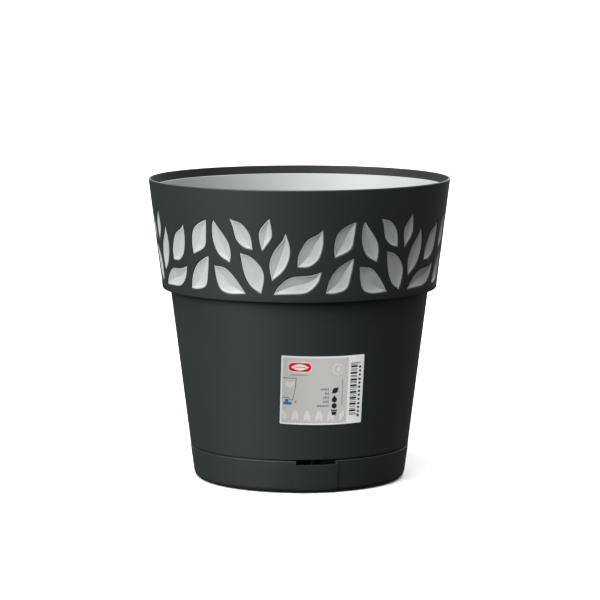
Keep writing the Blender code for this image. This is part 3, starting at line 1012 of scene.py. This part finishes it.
def cutPotShapes(edge):
    # the pot cut in half, its leaves, its water in blue, and a drop beside it
    runs = stroke(((edge, 30.9), (9.9, 30.9), (9.4, 24.0), (7.9, 16.4), (5.9, 16.4),
                   (5.3, 17.8), (edge, 17.8)), 0.55)
    shapes = [("inkTaupe", 2 + k % 2, run) for k, run in enumerate(runs)]
    shapes += [("inkPale", 2, sprig(5.7, 24.4, 4.9, 28)), ("inkPale", 3, sprig(6.1, 24.4, 5.1, -26))]
    shapes += [("inkBlue", 2, pill(1.9, 13.1, 7.5, 14.9)), ("inkBlue", 3, box(3.0, 14.3, 5.3, 15.9)),
               ("inkBlue", 4, disc(4.15, 15.9, 1.15)), ("inkTaupe", 2, disc(9.8, 15.2, 0.72))]
    return shapes


def tickRows():
    # rows of small grey ticks, set to the right
    plan = printPlan
    wide, high = plan["rowTick"]
    shapes = []
    for row, count in enumerate(plan["rows"]):
        top = plan["rowTop"] - plan["rowStep"] * row
        for k in range(count):
            right = plan["rowRight"] - plan["rowTickStep"] * k
            tick = box(right - wide, top - high, right, top - plan["rowTickDrop"] * (k % 2))
            shapes.append(("inkGrey", 2, tick))
    return shapes


def signShapes():
    # four bold care signs in a column: leaf, drop, sun, pot with its rim
    pot = inMetres(((33.9, 6.4), (36.5, 6.4), (37.0, 8.7), (33.4, 8.7)))
    signs = (sprig(33.4, 20.9, 5.6, -48, 0.5), drop(35.2, 16.6, 1.75), disc(35.2, 12.6, 1.75),
             box(33.1, 9.1, 37.3, 10.0), pot)
    return [("inkDark", 4, sign) for sign in signs]


def ringShapes():
    # a thin column of ticks, and a pale ring with a leaf
    shapes = []
    for k in range(printPlan["sideTicks"]):
        up = printPlan["tickStep"] * k
        shapes.append(("inkGrey", 2, box(40.1, 12.6 + up, 40.65, 13.5 + up)))
    return shapes + [("inkPale", 2, disc(36.9, 37.0, 3.7, 40)), ("fieldGrey", 3, disc(36.9, 37.0, 3.1, 40)),
                     ("inkPale", 4, sprig(36.9, 34.9, 4.2, -12))]


def sprayShapes():
    # a pale spray of leaves along the foot
    plan = printPlan
    shapes = []
    for k in range(plan["sprayLeaves"]):
        leaf = sprig(plan["sprayStep"] * (k + 1), plan["sprayLow"], plan["sprayLength"],
                     plan["sprayTurns"][k % 2], plan["sprayFatness"])
        shapes.append(("inkPale", 2 + k % 2, leaf))
    return shapes


def barShapes():
    # bars whose widths follow a simple repeat and stand for no number, and marks beside them
    v = label
    plan = printPlan
    widths = [1 + (k * k + 2 * k) % 3 for k in range(v["bars"])]
    gaps = [1 + (k * 5 + k // 4) % 2 for k in range(v["bars"])]
    unit = (v["barsHigh"] - v["barsLow"]) / mm / (sum(widths) + sum(gaps[:-1]))
    spot = v["barsLow"] / mm
    shapes = []
    for k, (wide, gap) in enumerate(zip(widths, gaps)):
        guard = k in (0, v["bars"] // 2, v["bars"] - 1)
        right = (v["guardRight"] if guard else v["barRight"]) / mm
        shapes.append(("inkDark", 2, box(v["barLeft"] / mm, spot, right, spot + wide * unit)))
        spot += (wide + gap) * unit
    left, right = plan["markSides"]
    for k in range(plan["marks"]):
        low = plan["markLow"] + plan["markStep"] * k
        dot = disc(plan["dotMiddle"], low + plan["dotRadius"], plan["dotRadius"], plan["dotSides"])
        shapes.append(("inkDark", 2, dot if k % 3 else box(left, low, right, low + plan["markTall"])))
    return shapes


def printShapes():
    # ink, layer and outline of all that is printed
    edge = label["border"] / mm
    tall = label["height"] / mm
    field = ("fieldGrey", 1, box(edge, edge, label["stripLeft"] / mm, tall - edge))
    return [field, *badgeShapes(), *cutPotShapes(edge), *tickRows(), *signShapes(), *ringShapes(),
            *sprayShapes(), *barShapes()]


def addSlab(mesh, outline, low, high, slot):
    # a thin closed slab with this outline, between two heights over the pot's wall
    under = [mesh.verts.new((p.x, -low, p.y)) for p in outline]
    over = [mesh.verts.new((p.x, -high, p.y)) for p in outline]
    faces = [mesh.faces.new(over), mesh.faces.new(under[::-1])]
    for k in range(len(outline)):
        after = (k + 1) % len(outline)
        faces.append(mesh.faces.new((under[k], under[after], over[after], over[k])))
    for face in faces:
        face.material_index = slot


def bendLabel(mesh):
    # the flat paper lies on the cone as it would on the real wall, unrolled round the cone's point
    v = label
    lean = math.atan((cone["bodyTopRadius"] - cone["bodyLowRadius"]) / (cone["collarLow"] - saucerTop))
    middle = v["low"] + v["height"] / 2
    reach = bodyRadius(middle) / math.sin(lean)
    for vert in mesh.verts:
        across = vert.co.x - v["width"] / 2
        up = vert.co.z - v["height"] / 2 - v["tilt"] * across
        across += v["tilt"] * up + v["taper"] * across * up / (v["height"] / 2)
        turn = math.atan2(across, reach + up) / math.sin(lean)
        z = middle + (math.hypot(across, reach + up) - reach) * math.cos(lean)
        vert.co = pointAt(bodyRadius(z) - vert.co.y, v["middleAngle"] + math.degrees(turn), z)


def makeLabel(inks):
    v = label
    names = list(inks)
    mesh = bmesh.new()
    top = v["stand"] + v["paper"]
    sheet = box(0, 0, v["width"] / mm, v["height"] / mm)
    addSlab(mesh, sheet, v["stand"], top, names.index("paperWhite"))
    upright = [edge for edge in mesh.edges
               if abs(edge.verts[0].co.y - edge.verts[1].co.y) > v["paper"] / 2]
    bmesh.ops.bevel(mesh, geom=upright, offset=v["corner"], segments=v["cornerSteps"],
                    affect="EDGES", profile=0.5)
    for ink, layer, outline in printShapes():
        addSlab(mesh, outline, top - v["ink"], top + layer * v["ink"], names.index(ink))
    for k in range(1, int(v["width"] / v["column"]) + 1):
        sliceAt(mesh, k * v["column"])
    bendLabel(mesh)
    bmesh.ops.recalc_face_normals(mesh, faces=mesh.faces)
    data = bpy.data.meshes.new("productLabelSticker")
    mesh.to_mesh(data)
    mesh.free()
    piece = addObject("productLabelSticker", data)
    for name in names:
        data.materials.append(inks[name])
    smoothFaces(piece, weighted=False)
    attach(piece, "pot")
    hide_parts("product_label")
    print("label done")


# stage, lights and camera

stage = {
    "floorSize": 60.0, "floorDrop": 0.2 * mm, "floorTone": (0.93, 0.93, 0.93),
    "floorRoughness": 0.9, "floorSpecular": 0.1, "skySeen": 0.98,
    "lowSky": 0.05, "highSky": 0.56, "skyFrom": -0.15, "skyTo": 0.35,
}
suns = {
    "keyLight": {"strength": 4.5, "softness": 42.0, "height": 27.0, "turn": -60.0},
    "topLight": {"strength": 2.8, "softness": 60.0, "height": 67.0, "turn": -15.0},
    "backLight": {"strength": 1.7, "softness": 70.0, "height": 30.0, "turn": 158.0},
}


def makeFloor():
    clearSelection()
    bpy.ops.mesh.primitive_plane_add(size=stage["floorSize"], location=(0, 0, -stage["floorDrop"]))
    floor = bpy.context.object
    floor.name = "floor"
    setPlace(floor)
    paint = newMaterial("floorPaint")[0]
    shader = paint.node_tree.nodes["Principled BSDF"]
    shader.inputs["Base Color"].default_value = (*stage["floorTone"], 1)
    shader.inputs["Roughness"].default_value = stage["floorRoughness"]
    shader.inputs["Specular IOR Level"].default_value = stage["floorSpecular"]
    floor.data.materials.append(paint)
    # the floor throws no light back, so the object's right side stays dark
    floor.visible_diffuse = False
    floor.visible_glossy = False


def makeSky():
    world = bpy.data.worlds.new("paleRoom")
    bpy.context.scene.world = world
    world.use_nodes = True
    nodes = world.node_tree.nodes
    links = world.node_tree.links
    dim = nodes["Background"]
    dim.inputs["Color"].default_value = (1, 1, 1, 1)
    # the sky is seen as pale as the floor, and lights the object more softly
    pale = addNode(nodes, "Background", {"Strength": stage["skySeen"]})
    ray = nodes.new("ShaderNodeLightPath")
    # the room is dark below the horizon, so edges that face down stay dark
    place = nodes.new("ShaderNodeTexCoord")
    height = nodes.new("ShaderNodeSeparateXYZ")
    level = addNode(nodes, "MapRange", {"From Min": stage["skyFrom"], "From Max": stage["skyTo"],
                                        "To Min": stage["lowSky"], "To Max": stage["highSky"]})
    level.interpolation_type = "SMOOTHSTEP"
    links.new(place.outputs["Generated"], height.inputs["Vector"])
    links.new(height.outputs["Z"], level.inputs["Value"])
    links.new(level.outputs["Result"], dim.inputs["Strength"])
    pick = nodes.new("ShaderNodeMixShader")
    links.new(ray.outputs["Is Camera Ray"], pick.inputs["Fac"])
    links.new(dim.outputs["Background"], pick.inputs[1])
    links.new(pale.outputs["Background"], pick.inputs[2])
    links.new(pick.outputs["Shader"], nodes["World Output"].inputs["Surface"])


def makeLights():
    for name, values in suns.items():
        sun = bpy.data.lights.new(name, "SUN")
        sun.energy = values["strength"]
        sun.angle = math.radians(values["softness"])
        height = math.radians(values["height"])
        source = pointAt(math.cos(height), values["turn"], math.sin(height))
        addObject(name, sun).rotation_euler = source.to_track_quat("Z", "Y").to_euler()


cameraSet = {
    "distance": 2.0, "height": 0.3691, "turn": -8.7, "tiltDown": 7.166,
    "lens": 181.6, "sensor": 36.0, "shiftX": 0.001,
}


def makeCamera():
    v = cameraSet
    camera = bpy.data.cameras.new("camera")
    camera.lens = v["lens"]
    camera.sensor_width = v["sensor"]
    camera.shift_x = v["shiftX"]
    item = addObject("camera", camera)
    item.location = pointAt(v["distance"], v["turn"], v["height"])
    item.rotation_euler = (math.radians(90 - v["tiltDown"]), 0, math.radians(v["turn"]))
    bpy.context.scene.camera = item


clearSelection()
materials = {name: mouldedPlastic(name, values) for name, values in plastics.items()}
makeSaucer(materials["saucerPlastic"])
makeOuterPot(materials["anthracitePlastic"], materials["anthraciteShadedInside"])
makeInnerLiner(materials["lightGreyPlastic"], materials["lightGreyShadedInside"])
makeGrid(materials["gridPlastic"])
makeCup(materials["cupPlastic"])
makeLabel({name: inkMaterial(name, tone) for name, tone in printInks.items()})
makeFloor()
makeSky()
makeLights()
makeCamera()
bpy.context.scene.view_settings.view_transform = "Standard"
